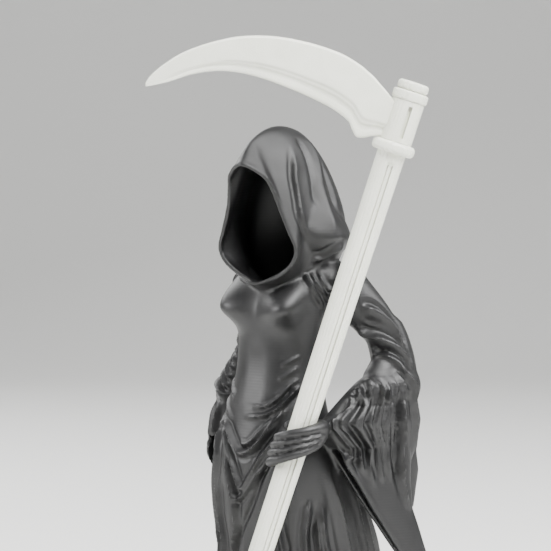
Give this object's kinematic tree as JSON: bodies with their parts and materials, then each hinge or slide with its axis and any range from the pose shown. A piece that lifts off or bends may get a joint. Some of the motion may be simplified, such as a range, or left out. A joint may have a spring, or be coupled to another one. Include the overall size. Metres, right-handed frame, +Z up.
{
  "type": "grim reaper figurine",
  "caption": "Standing hooded figure in a draped robe with an empty hood, on a low round base, holding a pale long-handled scythe upright in one fist.",
  "frame": {"origin": "centre of the round base's underside", "axes": "+Z up, the figure faces -Y, and its left hand with the scythe is towards +X"},
  "size_m": [0.0897, 0.0945, 0.1953],
  "materials": {
    "black_plastic": "satin black printed plastic with fine layer lines",
    "pale_plastic": "matt greenish-white printed plastic"
  },
  "bodies": {
    "root": {"reaper_figure": "black_plastic", "scythe": "pale_plastic"}
  },
  "joints": []
}
